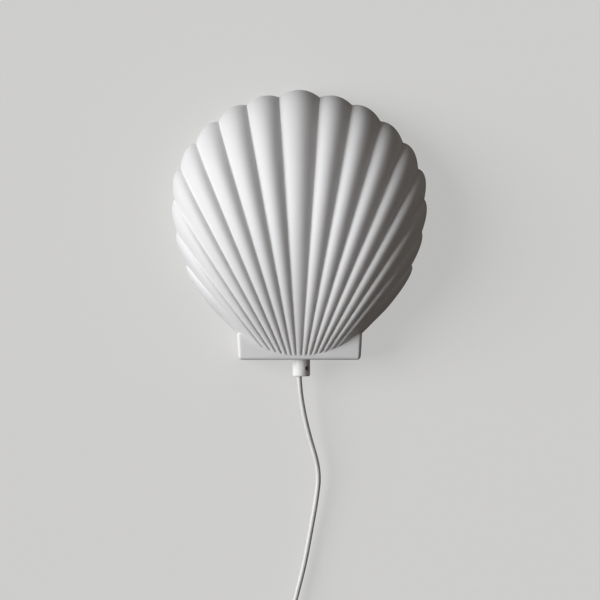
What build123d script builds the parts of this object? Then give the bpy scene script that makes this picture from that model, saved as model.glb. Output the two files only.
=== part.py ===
from build123d import *

import os
from math import atan, cos, degrees, hypot, pi, radians, sin, sqrt, tan

# Scallop-shell wall light in unglazed porcelain, with a corded lampholder.
# All sizes are in millimetres. The origin is the centre of the hanging keyhole
# on the wall plane: +X is right, +Y goes into the wall and +Z is up, so every
# piece lies at y <= 0.

# ---- Driving dimensions: the shell --------------------------------------
apex_z = -264.0  # where all grooves would meet, below the hinge block
fan_half_angle = 45.7  # the straight sides of the shell, in degrees from upright
first_groove = 0.068  # how far out the first groove leans per unit of height
groove_pitch = 0.1145  # the same, from one groove to the next
crest_reach = (301.0, 297.0, 291.0, 280.0, 266.0, 247.5, 220.5, 191.0, 157.0)
groove_reach = (294.0, 290.5, 281.5, 269.0, 252.0, 229.0, 201.0, 169.0)
edge_reach = 119.0  # where the straight sides end
rim_depth = 13.0  # the upright skirt along the wall
crown_depth = 92.0  # the highest point of the shell
summit = 0.52  # where that point lies between block and rim
foot_height = 38.5  # where the ribs come out of the block, above the apex
foot_curve = 0.006  # how fast that line climbs to both sides
rib_rise = 0.17  # height of a rib over its width
groove_lean = 2.2  # most that a groove deepens where the shell falls away sideways
rib_shares = (0, 0.2, 0.5, 0.8, 1)  # where a rib is cut, from groove to groove
arc_bow = 0.5523  # makes a quarter of an ellipse out of a cubic curve
wall = 5.0  # porcelain thickness in the block
hollow_wall = 4.0  # and behind the grooves
inner_half_angle = 43.1  # the fan of the hollow inside
inner_edge_reach = 128.0

# ---- Driving dimensions: the hinge block --------------------------------
block_depth = 40.0
block_top = -202.5
block_bottom = -229.3
block_back = (63.0, 61.5)  # half widths on the wall, at the top and the bottom
block_front = (57.9, 56.9)
block_edge = 3.0  # rounding of the front edges

# ---- Driving dimensions: hanger, holder and bulb -------------------------
axis_x = 1.8  # the holder's hole sits a little right of the middle
axis_y = -22.0
floor_top = block_bottom + wall
rubber_thickness = 1.0
steel_thickness = 1.5
washer_radius = 11.0
nut_thickness = 3.0
nut_flats = 14.0
nipple_radius = 4.95
nipple_bore = 3.5
nipple_hole = 5.3
nipple_below = 4.0  # how far the nipple reaches into the cord grip
nipple_into_cap = 8.0
strip_width = 24.0
strip_foot = 33.0  # how far the foot reaches from the wall
strip_top = 15.0
strip_bend = 3.0
angle_height = 14.0  # how far the angle's upright leg overlaps the strip
keyhole_radius = 4.5
keyhole_slot = 4.5  # width of the slot for the screw's shank
keyhole_rise = 8.0
cap_radius = 12.5
cap_boss = 8.0
cap_height = 16.0
barrel_radius = 12.2
barrel_height = 36.0
barrel_bore = 8.2
barrel_mouth = 10.4
insert_radius = 10.6
insert_height = 10.0
sleeve_radius = 7.9
sleeve_bore = 7.2
sleeve_height = 22.5
contact_thickness = 0.5
terminal_offset = 6.6
terminal_head = 1.8  # how far the screws stand out of the insert
terminal_shank = 1.45
bulb_cap_radius = 6.9
bulb_cap_height = 18.0
bulb_neck = 9.8
bulb_length = 98.0

# ---- Driving dimensions: grip and cord -----------------------------------
grip_radius = 8.6
grip_length = 16.7
grip_bore = 5.6
grip_thread = 5.0
grip_round = 1.2
grip_screw_turn = 46.0  # the clamp screw looks this far right of the front
grip_screw_drop = 8.8  # and sits this far below the block
grip_screw_radius = 1.95
cord_diameter = 5.0
cord_sides = 5
cord_push = 3.0  # the screw pushes the cord this far off the axis
lead_radius = 0.95
lead_sides = 6
lead_spread = 4.1  # where each lead ends beside its terminal, off the axis

# ---- Driving dimensions: switch, coil and plug ---------------------------
switch_x = -9.0
switch_y = -10.0
switch_top = -500.0
switch_length = 58.0
switch_width = 23.0
switch_end_width = 13.0
switch_half = 9.0  # each half shell's thickness
switch_screw_offset = 20.5
switch_screw_radius = 1.6
window_width = 12.4
window_length = 20.8
rocker_width = 12.0
rocker_half_length = 9.6
rocker_tilt = 6.0  # degrees from level to either stop
rocker_pivot = 3.5  # the pivot's height above the split between the halves
coil_middle = 26.8  # radius at the middle of the turns
coil_pitch = 6.4  # from one turn to the next in a layer
coil_lift = 6.2  # from one layer to the next
coil_layers = 4
coil_turns = 2  # full turns in each layer
coil_z = -616.0
coil_back_y = -4.0
coil_left_x = -10.0
tie_width = 9.0
tie_thickness = 1.0
tie_gap = 0.3
tail_arch = 23.0  # half the width of the arch from the coil over to the plug
tail_arch_z = -582.0  # where the arch starts
plug_y = -8.5
plug_z = -592.0  # the plug hangs, so this is where the cord goes in
plug_length = 40.0
pin_spacing = 18.6
pin_radius = 2.0
pin_root = 1.7  # radius of the part that is moulded into the plug
pin_length = 19.0
pin_seat = 8.0

os.makedirs("parts", exist_ok=True)
holder_axis = Axis((axis_x, axis_y, 0), (0, 0, 1))


# ---- The ribbed shell ----------------------------------------------------
def groove_angle(k):
    """The lean of groove k, counted from the middle rib, in degrees."""
    return degrees(atan(first_groove + groove_pitch * (k - 1)))


def foot_reach(angle):
    """Distance from the apex to where the shell leaves the block's front."""
    c = cos(radians(angle))
    s = sin(radians(angle))
    return 2 * foot_height / (c + sqrt(c * c - 4 * foot_curve * foot_height * s * s))


def swell(angle, half_angle, inset):
    """Heights above the rim where the shell leaves the block and at its summit."""
    side = min(abs(angle) / half_angle, 1.0)
    foot = (block_depth - rim_depth - inset) * (1 - side**24) ** 0.25
    crown = (crown_depth - rim_depth - inset) * (1 - side**2.3) ** (1 / 2.3)
    return foot, crown


def groove_depth(r, angle, half_angle):
    """How far a groove lies below the crests at r from the apex, towards the wall."""
    near = min(abs(angle) + 1, half_angle)
    fall = swell(near - 2, half_angle, 0)[1] - swell(near, half_angle, 0)[1]
    lean = min(groove_lean, hypot(1, fall / (r * radians(2))))
    return rib_rise * groove_pitch * r * cos(radians(angle)) ** 2 * lean


def radial_section(angle, reach, sunk, start_z, half_angle, inset):
    """One upright cut through the shell, on a plane through the apex."""
    c = cos(radians(angle))
    s = sin(radians(angle))
    start = (start_z - apex_z) / c
    leave = foot_reach(angle)
    top = leave + (reach - leave) * summit
    foot, crown = swell(angle, half_angle, inset)
    low = crown - (crown - foot) * ((top - start) / (top - leave)) ** 2
    sink_start = sunk * groove_depth(start, angle, half_angle)
    sink_top = sunk * groove_depth(top, angle, half_angle)
    slope = (sink_top - sink_start) / (top - start)
    bow = arc_bow * (reach - top)
    first = (start, rim_depth + low - sink_start)
    middle = (top, rim_depth + crown - sink_top)
    last = (reach, rim_depth)
    behind = -3.0
    with BuildSketch(Plane(origin=(0, 0, apex_z), x_dir=(s, 0, c), z_dir=(c, 0, -s))) as section:
        with BuildLine():
            Bezier(first, ((start + top) / 2, rim_depth + crown - (sink_start + sink_top) / 2), middle)
            Bezier(middle, (top + bow, middle[1] - slope * bow), (reach, rim_depth + arc_bow * (crown - sink_top)), last)
            Polyline(last, (reach, behind), (start, behind), first)
        make_face()
    return section.sketch


def rib(k):
    """Rib k, lofted from the groove on its one side over its crest to the other."""
    n = abs(k)
    sign = -1 if k < 0 else 1
    last = len(groove_reach)
    outer = groove_angle(n + 1) if n < last else fan_half_angle
    inner = groove_angle(n) if n else -outer
    inner_reach = groove_reach[n - 1] if n else groove_reach[0]
    outer_reach = groove_reach[n] if n < last else edge_reach
    sections = []
    for share in rib_shares:
        on_inner = (1 - 2 * share) * (1 - share)
        on_crest = 4 * share * (1 - share)
        on_outer = share * (2 * share - 1)
        reach = on_inner * inner_reach + on_crest * crest_reach[n] + on_outer * outer_reach
        sunk = on_inner + on_outer if n < last else on_inner
        angle = sign * (inner + (outer - inner) * share)
        sections.append(radial_section(angle, reach, sunk, block_bottom + block_edge, fan_half_angle, 0))
    loft(sections, ruled=True, clean=False)


def hollow_section(k):
    """A cut through the smooth hollow below groove k; past the last one, at its straight side."""
    sign = -1 if k < 0 else 1
    n = abs(k)
    if n > len(groove_reach):
        angle = sign * inner_half_angle
        return radial_section(angle, inner_edge_reach, 0, hollow_start, inner_half_angle, hollow_wall)
    angle = sign * groove_angle(n)
    return radial_section(angle, groove_reach[n - 1] - hollow_wall, 1, hollow_start, inner_half_angle, hollow_wall)


def block_outline(half_widths, top, bottom, depth):
    """The hinge block's outline at one depth in front of the wall."""
    with BuildSketch(Plane.XZ.offset(depth)) as outline:
        with BuildLine():
            Polyline(
                (-half_widths[0], top),
                (half_widths[0], top),
                (half_widths[1], bottom),
                (-half_widths[1], bottom),
                close=True,
            )
        make_face()
    return outline.sketch


ribs_a_side = len(groove_reach)
hollow_cuts = (-9, -8, -7, -6, -5, -4, -3, -2, -1, 1, 2, 3, 4, 5, 6, 7, 8, 9)  # 9 is the straight side
hollow_start = floor_top + 9
with BuildPart() as shell_shade:
    back_outline = block_outline(block_back, block_top, block_bottom, 0)
    front_outline = block_outline(block_front, block_top, block_bottom, block_depth)
    loft([back_outline, front_outline], ruled=True)
    front_edges = edges().filter_by(lambda e: e.center().Y < -1 and e.center().Z < block_top - 1)
    fillet(front_edges, block_edge)
    for k in range(-ribs_a_side, ribs_a_side + 1):
        rib(k)
    split(bisect_by=Plane.XZ, keep=Keep.TOP)
    loft([hollow_section(k) for k in hollow_cuts], ruled=True, clean=False, mode=Mode.SUBTRACT)
    inside_back = tuple(w - wall for w in block_back)
    inside_front = tuple(w - wall for w in block_front)
    back_outline = block_outline(inside_back, block_top, floor_top, 0)
    front_outline = block_outline(inside_front, block_top, floor_top, block_depth - wall)
    loft([back_outline, front_outline], ruled=True, mode=Mode.SUBTRACT)
    with BuildSketch(Plane.XY.offset(block_bottom)):
        with Locations((axis_x, axis_y)):
            Circle(nipple_hole)
    extrude(amount=wall, mode=Mode.SUBTRACT)

# ---- The stack along the holder's upright axis ---------------------------
rubber_z = floor_top
strip_z = rubber_z + rubber_thickness
nut_z = strip_z + steel_thickness
cap_z = nut_z + nut_thickness + 0.5
barrel_z = cap_z + cap_height
insert_z = barrel_z
sleeve_z = insert_z + insert_height
bulb_z = sleeve_z + 3.4  # the lowest point of the bulb's contact
on_axis = (axis_x, axis_y)
axis_section = Plane(origin=(axis_x, axis_y, 0), x_dir=(1, 0, 0), z_dir=(0, -1, 0))


def turned(points):
    """A closed profile of (radius, height) points beside the holder's axis."""
    with BuildSketch(axis_section) as profile:
        with BuildLine():
            Polyline(*points, close=True)
        make_face()
    return profile.sketch


def washer_outline(z, outer, bore):
    """A ring round the holder's axis at height z."""
    with BuildSketch(Plane.XY.offset(z)) as ring:
        with Locations(on_axis):
            Circle(outer)
            Circle(bore, mode=Mode.SUBTRACT)
    return ring.sketch


# ---- Hanger and the parts that clamp it ----------------------------------
with BuildPart() as rubber_washer:
    extrude(washer_outline(rubber_z, washer_radius, nipple_radius + 0.15), amount=rubber_thickness)

with BuildPart() as hanger_strip:
    with BuildSketch(Plane.XZ):
        with Locations((0, (strip_z + strip_top) / 2)):
            Rectangle(strip_width, strip_top - strip_z)
    extrude(amount=steel_thickness)
    fillet(edges().filter_by(Axis.Y).group_by(Axis.Z)[-1], 7)
    with BuildSketch(Plane.XZ):
        Circle(keyhole_radius)
        with Locations((0, keyhole_rise / 2)):
            SlotCenterToCenter(keyhole_rise, keyhole_slot, rotation=90)
    extrude(amount=steel_thickness, mode=Mode.SUBTRACT)

# The angle is folded from the same strip steel and spot-welded to the strip.
with BuildPart() as hanger_angle:
    with BuildSketch(Plane.YZ):
        with BuildLine():
            Polyline(
                (-steel_thickness, strip_z),
                (-steel_thickness, strip_z + angle_height),
                (-2 * steel_thickness, strip_z + angle_height),
                (-2 * steel_thickness, strip_z + steel_thickness),
                (-strip_foot, strip_z + steel_thickness),
                (-strip_foot, strip_z),
                close=True,
            )
        make_face()
    extrude(amount=strip_width / 2, both=True)
    corner = edges().filter_by(Axis.X)
    fillet(corner.filter_by(lambda e: e.center().Y > -1.6 and e.center().Z < strip_z + 0.1), strip_bend)
    inside = corner.sort_by(lambda e: hypot(e.center().Y + 2 * steel_thickness, e.center().Z - strip_z - steel_thickness))
    fillet(inside[0], strip_bend - steel_thickness)
    fillet(edges().filter_by(Axis.Z).group_by(Axis.Y)[0], 6)
    with BuildSketch(Plane.XY.offset(strip_z)):
        with Locations(on_axis):
            Circle(nipple_hole)
    extrude(amount=steel_thickness, mode=Mode.SUBTRACT)

with BuildPart() as lock_nut:
    with BuildSketch(Plane.XY.offset(nut_z)):
        with Locations(on_axis):
            RegularPolygon(nut_flats / 2, 6, major_radius=False)
            Circle(nipple_radius + 0.05, mode=Mode.SUBTRACT)
    extrude(amount=nut_thickness)
    chamfer(edges().filter_by(GeomType.LINE).group_by(Axis.Z)[-1], 0.5)

with BuildPart() as threaded_nipple:
    tube = washer_outline(block_bottom - nipple_below, nipple_radius, nipple_bore)
    extrude(tube, amount=nipple_below + cap_z - block_bottom + nipple_into_cap)

# ---- Lampholder ----------------------------------------------------------
cap_floor = cap_z + nipple_into_cap + 0.3
with BuildPart() as holder_cap:
    revolve(
        turned(
            [
                (nipple_radius + 0.05, cap_z),
                (cap_boss, cap_z),
                (cap_radius, cap_z + 7),
                (cap_radius, barrel_z),
                (insert_radius - 1, barrel_z),
                (insert_radius - 1, cap_floor),
                (nipple_radius + 0.05, cap_floor),
            ]
        ),
        axis=holder_axis,
    )

barrel_top = barrel_z + barrel_height
with BuildPart() as holder_barrel:
    revolve(
        turned(
            [
                (insert_radius + 0.2, barrel_z),
                (barrel_radius, barrel_z),
                (barrel_radius, barrel_top),
                (barrel_mouth, barrel_top),
                (barrel_bore, barrel_top - 6),
                (barrel_bore, sleeve_z),
                (insert_radius + 0.2, sleeve_z),
            ]
        ),
        axis=holder_axis,
    )

# The leads and terminals lie in one upright plane, square to the clamp screw.
lead_places = Plane(origin=(axis_x, axis_y, 0), x_dir=Vector(1, 0, 0).rotate(Axis.Z, grip_screw_turn), z_dir=(0, 0, 1))
with BuildPart() as holder_insert:
    with BuildSketch(Plane.XY.offset(insert_z)):
        with Locations(on_axis):
            Circle(insert_radius)
    extrude(amount=insert_height)
    with BuildSketch(lead_places.offset(insert_z)):
        with Locations((-terminal_offset, 0), (terminal_offset, 0)):
            Circle(terminal_shank + 0.05)
    extrude(amount=insert_height / 2, mode=Mode.SUBTRACT)

with BuildPart() as terminal_screws:
    with BuildSketch(lead_places.offset(insert_z - terminal_head)):
        with Locations((-terminal_offset, 0), (terminal_offset, 0)):
            Circle(terminal_shank)
    extrude(amount=terminal_head + insert_height / 2 - 0.5)

with BuildPart() as screw_sleeve:
    extrude(washer_outline(sleeve_z + contact_thickness, sleeve_radius, sleeve_bore), amount=sleeve_height)

with BuildPart() as side_contact:
    with BuildSketch(Plane.XY.offset(sleeve_z)):
        with Locations((axis_x + 6.2, axis_y)):
            Rectangle(3.4, 4)
    extrude(amount=contact_thickness)

with BuildPart() as centre_contact:
    with BuildSketch(axis_section):
        with BuildLine():
            Polyline(
                (-5.5, sleeve_z),
                (-2.8, sleeve_z),
                (0.2, bulb_z - 0.1 - contact_thickness),
                (3.0, bulb_z - 1.7),
                (3.2, bulb_z - 1.25),
                (0.2, bulb_z - 0.1),
                (-3.0, sleeve_z + contact_thickness),
                (-5.5, sleeve_z + contact_thickness),
                close=True,
            )
        make_face()
    extrude(amount=2, both=True)

# ---- Bulb: a small-cap candle with an opal globe --------------------------
insulator_z = bulb_z + 1.3
bulb_cap_z = insulator_z + 3.1
collar_z = bulb_cap_z + bulb_cap_height
globe_z = collar_z + 6.5
with BuildPart() as bulb_contact:
    revolve(turned([(0, bulb_z), (1.6, bulb_z), (2.6, insulator_z), (0, insulator_z)]), axis=holder_axis)

with BuildPart() as bulb_insulator:
    revolve(turned([(0, insulator_z), (3.2, insulator_z), (6.0, bulb_cap_z), (0, bulb_cap_z)]), axis=holder_axis)

with BuildPart() as bulb_cap:
    with BuildSketch(Plane.XY.offset(bulb_cap_z)):
        with Locations(on_axis):
            Circle(bulb_cap_radius)
    extrude(amount=bulb_cap_height)
    chamfer(edges().filter_by(GeomType.CIRCLE).group_by(Axis.Z)[0], 0.6)

with BuildPart() as bulb_collar:
    revolve(turned([(0, collar_z), (8.0, collar_z), (bulb_neck, globe_z), (0, globe_z)]), axis=holder_axis)

globe_top = bulb_z + bulb_length
globe_profile = (
    (bulb_neck - 0.4, 0),
    (12.6, 6),
    (15.6, 13),
    (17.2, 20),
    (17.5, 26),
    (16.9, 34),
    (15.2, 43),
    (12.6, 52),
    (9.4, 60),
    (5.6, 66.5),
    (0, globe_top - globe_z),
)
with BuildPart() as bulb_globe:
    revolve(turned([(0, globe_z)] + [(r, globe_z + rise) for r, rise in globe_profile]), axis=holder_axis)

# ---- Cord grip -----------------------------------------------------------
grip_end = block_bottom - grip_length
screw_direction = Vector(0, -1, 0).rotate(Axis.Z, grip_screw_turn)
screw_plane = Plane(
    origin=(axis_x, axis_y, block_bottom - grip_screw_drop), x_dir=(0, 0, 1), z_dir=screw_direction
)
with BuildPart() as cord_grip:
    revolve(
        turned(
            [
                (grip_thread, block_bottom),
                (grip_radius, block_bottom),
                (grip_radius, grip_end + grip_round),
                (grip_radius - grip_round, grip_end),
                (grip_bore, grip_end),
                (grip_bore, block_bottom - nipple_below - 0.3),
                (grip_thread, block_bottom - nipple_below - 0.3),
            ]
        ),
        axis=holder_axis,
    )
    with BuildSketch(screw_plane):
        Circle(grip_screw_radius + 0.05)
    extrude(amount=grip_radius + 1, mode=Mode.SUBTRACT)
    with BuildSketch(screw_plane.offset(grip_radius - 1.8)):
        Circle(grip_screw_radius + 1)
    extrude(amount=3, mode=Mode.SUBTRACT)

with BuildPart() as grip_screw:
    with BuildSketch(screw_plane.offset(cord_diameter / 2 - cord_push + 0.1)):
        Circle(grip_screw_radius)
    extrude(amount=grip_radius - 2 - cord_diameter / 2 + cord_push)
    with BuildSketch(screw_plane.offset(grip_radius - 2.9)):
        Rectangle(5, 0.7)
    extrude(amount=3, mode=Mode.SUBTRACT)

# ---- Leads inside the holder ---------------------------------------------
pushed = Vector(axis_x, axis_y, 0) - screw_direction * cord_push
across = Vector(1, 0, 0).rotate(Axis.Z, grip_screw_turn)
sheath_end = block_bottom - 6.1


def lead(side):
    """One insulated lead from the sheath's end through the nipple to the insert."""
    middle = Vector(axis_x, axis_y, 0)
    up = Vector(0, 0, 1)
    points = [
        pushed + across * (side * 1.0) + up * sheath_end,
        pushed + across * (side * 1.0) + up * (sheath_end + 1.1),
        middle + across * (side * 1.1) + up * (sheath_end + 4.1),
        middle + across * (side * 1.1) + up * (cap_z + 5.5),
        middle + across * (side * lead_spread) + up * (cap_z + 10.5),
        middle + across * (side * lead_spread) + up * (insert_z - 0.1),
    ]
    with BuildLine() as route:
        FilletPolyline(*points, radius=[1.15, 2.5, 4, 4])
    with BuildSketch(Plane(origin=points[0], z_dir=up)) as section:
        RegularPolygon(lead_radius, lead_sides)
    return route.wires()[0], section.sketch


with BuildPart() as lead_brown:
    live_route, live_section = lead(-1)
    sweep(live_section, path=live_route)

with BuildPart() as lead_blue:
    return_route, return_section = lead(1)
    sweep(return_section, path=return_route)


# ---- Cord ----------------------------------------------------------------
def corner_radii(points):
    """Each corner's radius: 0.45 of its shorter run over the tangent of half its turn."""
    radii = []
    for before, corner, after in zip(points, points[1:], points[2:]):
        turn = (corner - before).get_angle(after - corner)
        shorter = min((corner - before).length, (after - corner).length)
        radii.append(0.45 * shorter / tan(radians(turn / 2)))
    return radii


def cord_section(start, direction):
    """The cord's cross-section, square to its route."""
    with BuildSketch(Plane(origin=start, x_dir=(1, 0, 0), z_dir=direction)) as section:
        RegularPolygon(cord_diameter / 2, cord_sides, rotation=180 / cord_sides)
    return section.sketch


def report_tube(name, solid, section, length):
    """Print how a tube's volume compares with its section times its length."""
    ratio = solid.volume / (section.area * length)
    print(f"{name}: length {length:.1f}, volume over section x length {ratio:.4f}")


def free_cord(name, points):
    """Straight runs joined by tangent arcs through the corners of a hand-laid route."""
    corners = [Vector(*point) for point in points]
    radii = corner_radii(corners)
    print(f"{name}: bend radii {[round(radius) for radius in radii]}")
    with BuildLine() as route:
        FilletPolyline(*corners, radius=radii)
    return route.wires()[0], cord_section(corners[0], corners[1] - corners[0])


lead_points = [
    (pushed.X, pushed.Y, sheath_end),
    (-0.5, -19.8, -252.0),
    (3.2, -17.5, -279.0),
    (9.2, -14.5, -305.0),
    (20.0, -11.5, -341.0),
    (16.6, -9.5, -370.0),
    (11.0, -7.8, -401.0),
    (5.0, -6.8, -434.0),
    (-3.9, -7.4, -468.0),
    (switch_x, switch_y, -487.0),
    (switch_x, switch_y, switch_top),
]
switch_bottom = switch_top - switch_length
link_points = [
    (switch_x, switch_y, switch_bottom),
    (switch_x, switch_y, switch_bottom - 14),
    (coil_left_x, coil_back_y, coil_z + 19),
    (coil_left_x, coil_back_y, coil_z + cord_diameter),
]
coil_outer = coil_middle + coil_pitch * coil_turns / 2
coil_x = coil_left_x + coil_outer
coil_front_y = coil_back_y - coil_lift * (coil_layers - 1)
coil_right_x = coil_x + coil_outer
plug_x = coil_right_x + 2 * tail_arch
arch_corner = tail_arch * tan(radians(22.5))  # the arch has four corners of 45 degrees
tail_points = [
    (coil_right_x, coil_front_y, coil_z + cord_diameter),
    (coil_right_x, coil_front_y, tail_arch_z - 12),
    (coil_right_x, -20.5, tail_arch_z + arch_corner),
    (coil_right_x + tail_arch - arch_corner, -16.5, tail_arch_z + tail_arch),
    (coil_right_x + tail_arch + arch_corner, -12.0, tail_arch_z + tail_arch),
    (plug_x, plug_y, tail_arch_z + arch_corner),
    (plug_x, plug_y, plug_z),
]

with BuildPart() as cord_lead:
    lead_route, lead_section = free_cord("cord_lead", lead_points)
    sweep(lead_section, path=lead_route)
report_tube("cord_lead", cord_lead.part, lead_section, lead_route.length)

with BuildPart() as cord_link:
    link_route, link_section = free_cord("cord_link", link_points)
    sweep(link_section, path=link_route)
report_tube("cord_link", cord_link.part, link_section, link_route.length)

with BuildPart() as cord_tail:
    tail_route, tail_section = free_cord("cord_tail", tail_points)
    sweep(tail_section, path=tail_route)
report_tube("cord_tail", cord_tail.part, tail_section, tail_route.length)


def coil_stations():
    """Where each half turn ends: on the left (-1) or right (+1), its radius and its depth."""
    side = -1
    radius = coil_outer
    y = coil_back_y
    stations = [(side, radius, y)]
    for layer in range(coil_layers):
        change = -coil_pitch / 2 if layer % 2 == 0 else coil_pitch / 2
        for half_turn in range(2 * coil_turns):
            side = -side
            radius += change
            stations.append((side, radius, y))
        if layer < coil_layers - 1:
            side = -side
            y -= coil_lift
            stations.append((side, radius, y))
    return stations


coil_ends = coil_stations()
coil_points = [Vector(coil_x + side * radius, y, coil_z) for side, radius, y in coil_ends]
with BuildLine() as coil_route:
    Line(coil_points[0] + Vector(0, 0, cord_diameter), coil_points[0])
    for (side, radius, y), start, end in zip(coil_ends, coil_points, coil_points[1:]):
        heading = Vector(0, 0, side)
        ThreePointArc(start, (start + end) / 2 + heading * ((end - start).length / 2), end)
    Line(coil_points[-1], coil_points[-1] + Vector(0, 0, cord_diameter))
coil_wire = coil_route.wires()[0]
coil_section = cord_section(coil_points[0] + Vector(0, 0, cord_diameter), (0, 0, -1))
with BuildPart() as cord_coil:
    sweep(coil_section, path=coil_wire)
report_tube("cord_coil", cord_coil.part, coil_section, coil_wire.length)

samples_a_turn = 48
sample_count = samples_a_turn * (len(coil_points) - 1) // 2
samples = [coil_wire.position_at(i / sample_count) for i in range(sample_count)]
coil_gap = min(
    (samples[i] - samples[j]).length - cord_diameter
    for i in range(sample_count)
    for j in range(i + samples_a_turn // 2, sample_count)
)
print(f"cord_coil: least gap to itself {coil_gap:.2f}")
cord_length = lead_route.length + switch_length + link_route.length + coil_wire.length + tail_route.length
print(f"cord: whole length with the stretch inside the switch {cord_length:.0f}")

tie_inner = sqrt((coil_outer - coil_pitch * coil_turns - cord_diameter / 2) ** 2 - (tie_width / 2) ** 2) - tie_gap
tie_outer = coil_outer + cord_diameter / 2 + tie_gap
tie_depth = coil_back_y - coil_front_y + cord_diameter + 2 * tie_gap
with BuildPart() as coil_tie:
    with BuildSketch(Plane.YZ.offset(coil_x)):
        with Locations(((coil_back_y + coil_front_y) / 2, coil_z - (tie_inner + tie_outer) / 2)):
            RectangleRounded(tie_depth + 2 * tie_thickness, tie_outer - tie_inner + 2 * tie_thickness, 2.5)
            RectangleRounded(tie_depth, tie_outer - tie_inner, 1.5, mode=Mode.SUBTRACT)
    extrude(amount=tie_width / 2, both=True)

# ---- In-line switch ------------------------------------------------------
switch_z = switch_top - switch_length / 2
split_depth = -switch_y
pivot = Vector(switch_x, switch_y - rocker_pivot, switch_z)


def switch_plane(depth):
    """The plane of the switch's outline at one depth in front of the wall."""
    return Plane(origin=(switch_x, -depth, switch_z), x_dir=(1, 0, 0), z_dir=(0, -1, 0))


def switch_outline(depth):
    """The switch's outline from the front, swelling towards its middle."""
    half = switch_length / 2
    end = switch_end_width / 2
    with BuildSketch(switch_plane(depth)) as outline:
        with BuildLine():
            Line((-end, half), (end, half))
            ThreePointArc((end, half), (switch_width / 2, 0), (end, -half))
            Line((end, -half), (-end, -half))
            ThreePointArc((-end, -half), (-switch_width / 2, 0), (-end, half))
        make_face()
        chamfer(outline.vertices(), 2)
    return outline.sketch


def switch_screw_discs(depth, radius):
    """Two discs, one for each screw of the switch, at one depth."""
    with BuildSketch(switch_plane(depth)) as discs:
        with Locations((0, -switch_screw_offset), (0, switch_screw_offset)):
            Circle(radius)
    return discs.sketch


back_depth = split_depth - switch_half
with BuildPart() as switch_back:
    extrude(switch_outline(back_depth), amount=switch_half)
    chamfer(faces().sort_by(Axis.Y)[-1].edges(), 1)
    extrude(switch_screw_discs(back_depth, switch_screw_radius + 0.05), amount=switch_half, mode=Mode.SUBTRACT)

with BuildPart() as switch_front:
    extrude(switch_outline(split_depth), amount=switch_half)
    chamfer(faces().sort_by(Axis.Y)[0].edges(), 1.8)
    with BuildSketch(switch_plane(split_depth)):
        Rectangle(window_width, window_length)
    extrude(amount=switch_half, mode=Mode.SUBTRACT)
    with BuildSketch(Plane.YZ.offset(switch_x)):
        with Locations((pivot.Y, pivot.Z)):
            Circle(1.5)
    extrude(amount=window_width / 2 + 1.8, both=True, mode=Mode.SUBTRACT)
    extrude(switch_screw_discs(split_depth, switch_screw_radius + 0.05), amount=4.5, mode=Mode.SUBTRACT)

with BuildPart() as switch_screws:
    extrude(switch_screw_discs(back_depth + 0.5, switch_screw_radius), amount=switch_half + 3)

lean_in = radians(rocker_tilt)  # the upper half is pressed in
rocker_section = Plane(origin=pivot, x_dir=(0, sin(lean_in), cos(lean_in)), z_dir=(1, 0, 0))
with BuildPart() as switch_rocker:
    with BuildSketch(rocker_section):
        with BuildLine():
            Polyline(
                (-rocker_half_length, -1.4),
                (-rocker_half_length, 6.9),
                (0, 5.8),
                (rocker_half_length, 6.9),
                (rocker_half_length, -1.4),
                (4, -3),
                (-4, -3),
                close=True,
            )
        make_face()
    extrude(amount=rocker_width / 2, both=True)
    with BuildSketch(rocker_section):
        Circle(1.45)
    extrude(amount=window_width / 2 + 1.5, both=True)

# ---- Plug ----------------------------------------------------------------
with BuildPart() as plug_body:
    for drop, width, depth in ((0, 10, 10), (0.45, 24, 13), (1, 35, 13.6)):
        with BuildSketch(Plane(origin=(plug_x, plug_y, plug_z - drop * plug_length))):
            chamfer(Rectangle(width, depth).vertices(), 3)
    loft(ruled=True)
    with BuildSketch(Plane(origin=(plug_x, plug_y, plug_z - plug_length))):
        with Locations((-pin_spacing / 2, 0), (pin_spacing / 2, 0)):
            Circle(pin_root + 0.05)
    extrude(amount=pin_seat, mode=Mode.SUBTRACT)

with BuildPart() as plug_pins:
    with BuildSketch(Plane(origin=(plug_x, plug_y, plug_z - plug_length))):
        with Locations((-pin_spacing / 2, 0), (pin_spacing / 2, 0)):
            Circle(pin_root)
    extrude(amount=pin_seat)
    with BuildSketch(Plane(origin=(plug_x, plug_y, plug_z - plug_length))):
        with Locations((-pin_spacing / 2, 0), (pin_spacing / 2, 0)):
            Circle(pin_radius)
    extrude(amount=-pin_length)
    chamfer(edges().filter_by(GeomType.CIRCLE).group_by(Axis.Z)[0], 0.9)

# ---- Output: one solid or group of fasteners per node ---------------------
pieces = {
    "shell_shade": shell_shade,
    "rubber_washer": rubber_washer,
    "hanger_strip": hanger_strip,
    "hanger_angle": hanger_angle,
    "lock_nut": lock_nut,
    "threaded_nipple": threaded_nipple,
    "holder_cap": holder_cap,
    "holder_barrel": holder_barrel,
    "holder_insert": holder_insert,
    "terminal_screws": terminal_screws,
    "screw_sleeve": screw_sleeve,
    "side_contact": side_contact,
    "centre_contact": centre_contact,
    "bulb_contact": bulb_contact,
    "bulb_insulator": bulb_insulator,
    "bulb_cap": bulb_cap,
    "bulb_collar": bulb_collar,
    "bulb_globe": bulb_globe,
    "cord_grip": cord_grip,
    "grip_screw": grip_screw,
    "lead_brown": lead_brown,
    "lead_blue": lead_blue,
    "cord_lead": cord_lead,
    "cord_link": cord_link,
    "cord_coil": cord_coil,
    "cord_tail": cord_tail,
    "coil_tie": coil_tie,
    "switch_back": switch_back,
    "switch_front": switch_front,
    "switch_screws": switch_screws,
    "switch_rocker": switch_rocker,
    "plug_body": plug_body,
    "plug_pins": plug_pins,
}
for name, piece in pieces.items():
    piece.part.label = name
    export_step(piece.part, f"parts/{name}.step")
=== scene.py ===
import logging
import math
from dataclasses import dataclass
from enum import Enum

import bpy
import numpy as np
from mathutils import Matrix, Vector


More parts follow.
